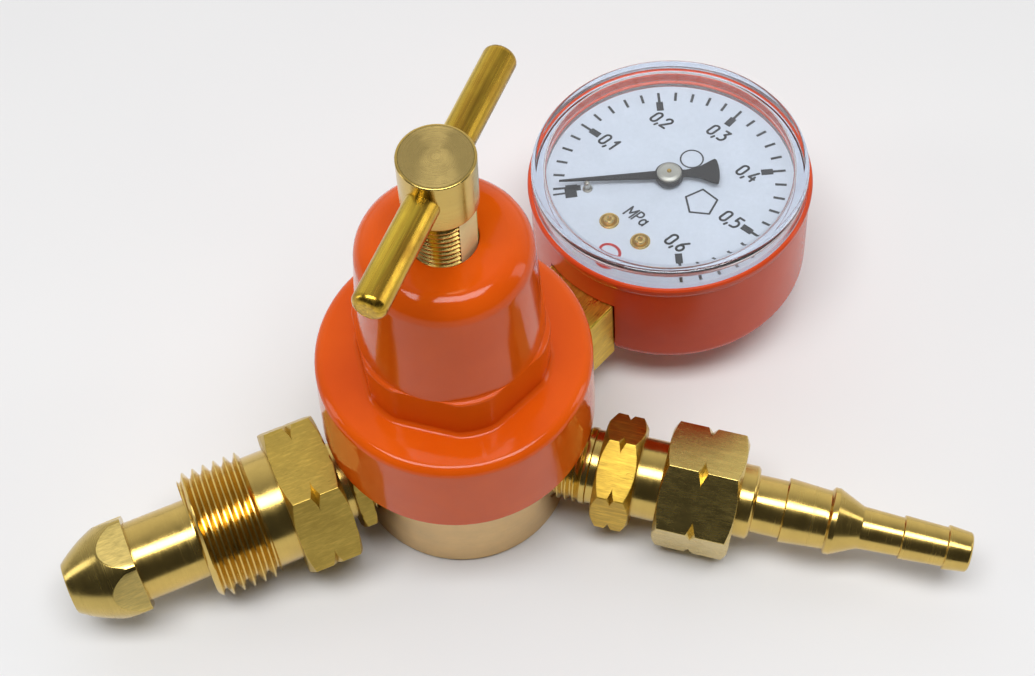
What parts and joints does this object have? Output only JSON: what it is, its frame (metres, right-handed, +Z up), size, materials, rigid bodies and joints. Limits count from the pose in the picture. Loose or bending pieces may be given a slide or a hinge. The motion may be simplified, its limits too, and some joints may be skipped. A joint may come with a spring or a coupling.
{
  "type": "gas pressure regulator",
  "caption": "Brass gas regulator with a painted bonnet, tee-handled adjusting screw, cylinder connection, hose tail and one dial gauge lying face up.",
  "frame": {"origin": "centre of the flat underside of the body, on the axis of the body and the adjusting screw", "axes": "+Z up along the axis of the body, bonnet and adjusting screw; -Y towards the side that the regulator is usually read from; +X towards the hose tail side, with the cylinder connection on the -X side"},
  "size_m": [0.1493, 0.097, 0.0902],
  "materials": {
    "turned_brass": "satin",
    "bright_brass": "polished",
    "drawn_brass": "brushed",
    "orange_paint": "gloss",
    "case_paint": "gloss",
    "spring_steel": "oiled",
    "plain_steel": "zinc plated",
    "black_rubber": "fabric reinforced",
    "seat_plastic": "nylon",
    "clear_cover": "clear moulded polycarbonate",
    "dial_enamel": "printed white enamel",
    "pointer_black": "satin black",
    "phosphor_bronze": "drawn",
    "sintered_bronze": "porous"
  },
  "bodies": {
    "housing": {"body": "turned_brass", "bonnet": "orange_paint", "slip_ring": "plain_steel", "diaphragm": "black_rubber", "seat_nozzle": "turned_brass", "base_plug": "turned_brass", "plug_ring": "black_rubber", "inlet_filter": "sintered_bronze", "inlet_nipple": "turned_brass", "outlet_adaptor": "turned_brass", "gauge_stem": "drawn_brass", "restrictor_screw": "drawn_brass", "gauge_case": "case_paint", "gauge_cover": "clear_cover", "gauge_dial": "dial_enamel", "dial_screws": "drawn_brass", "dial_spacers": "drawn_brass", "movement_screws": "drawn_brass", "plate_pillars": "drawn_brass", "back_plate": "drawn_brass", "front_plate": "drawn_brass", "hairspring": "spring_steel", "bourdon_tube": "phosphor_bronze", "tube_tip": "drawn_brass", "stop_pin": "pointer_black"},
    "button": {"spring_button": "drawn_brass", "main_spring": "spring_steel"},
    "screw": {"adjusting_screw": "bright_brass", "tee_bar": "drawn_brass"},
    "diaphragm_stack": {"diaphragm_plate": "drawn_brass", "diaphragm_nut": "drawn_brass"},
    "valve": {"valve_poppet": "drawn_brass", "valve_seal": "seat_plastic", "valve_pin": "plain_steel", "valve_spring": "spring_steel"},
    "cylinder_nut": {"inlet_nut": "drawn_brass"},
    "tail": {"hose_tail": "bright_brass", "union_washer": "seat_plastic"},
    "union": {"union_nut": "drawn_brass"},
    "sector": {"sector_gear": "drawn_brass", "sector_arbor": "plain_steel"},
    "link": {"connecting_link": "drawn_brass"},
    "pointer_set": {"pointer": "pointer_black", "pointer_hub": "plain_steel", "pinion_arbor": "drawn_brass"}
  },
  "joints": [
    {"name": "button_slide", "type": "slide", "parent": "housing", "child": "button", "axis": [0, 0, 1], "range_m": [-0.006, 0], "deforming": ["main_spring"]},
    {"name": "screw_spin", "type": "hinge", "parent": "button", "child": "screw", "pos_m": [0, 0, 0.0858], "axis": [0, 0, 1], "range_deg": [-2160, 0]},
    {"name": "diaphragm_travel", "type": "slide", "parent": "housing", "child": "diaphragm_stack", "axis": [0, 0, 1], "range_m": [-0.0008, 0], "stiffness_N_per_m": 1000, "springref_m": 0.001, "deforming": ["diaphragm"]},
    {"name": "valve_lift", "type": "slide", "parent": "housing", "child": "valve", "axis": [0, 0, 1], "range_m": [-0.0008, 0], "deforming": ["valve_spring"]},
    {"name": "cylinder_nut_spin", "type": "hinge", "parent": "housing", "child": "cylinder_nut", "pos_m": [-0.03229, -0.01351, 0.0121], "axis": [-0.9225, -0.3859, 0], "continuous": true},
    {"name": "tail_slide", "type": "slide", "parent": "housing", "child": "tail", "axis": [0.9613, -0.2756, 0], "range_m": [0, 0.0075]},
    {"name": "union_nut_spin", "type": "hinge", "parent": "tail", "child": "union", "pos_m": [0.03999, -0.01147, 0.01085], "axis": [0.9613, -0.2756, 0], "range_deg": [-1800, 0]},
    {"name": "sector_swing", "type": "hinge", "parent": "housing", "child": "sector", "pos_m": [0.03444, 0.0273, 0.0215], "axis": [-0.0556, 0.0528, 0.9971], "range_deg": [0, 33.75]},
    {"name": "link_slide", "type": "slide", "parent": "housing", "child": "link", "axis": [0.5968, 0.8023, -0.0092], "range_m": [0, 0.00319], "stiffness_N_per_m": 100, "springref_m": -0.001},
    {"name": "pointer_spin", "type": "hinge", "parent": "housing", "child": "pointer_set", "pos_m": [0.03761, 0.04041, 0.02098], "axis": [-0.0556, 0.0528, 0.9971], "range_deg": [-270, 0]}
  ],
  "couplings": [
    {"joint": "screw_spin", "follows": "button_slide", "rad_per_m": 6283.2},
    {"joint": "valve_lift", "follows": "diaphragm_travel", "ratio": 1},
    {"joint": "union_nut_spin", "follows": "tail_slide", "rad_per_m": -4188.8},
    {"joint": "sector_swing", "follows": "link_slide", "rad_per_m": 184.46},
    {"joint": "pointer_spin", "follows": "link_slide", "rad_per_m": -1475.7}
  ]
}
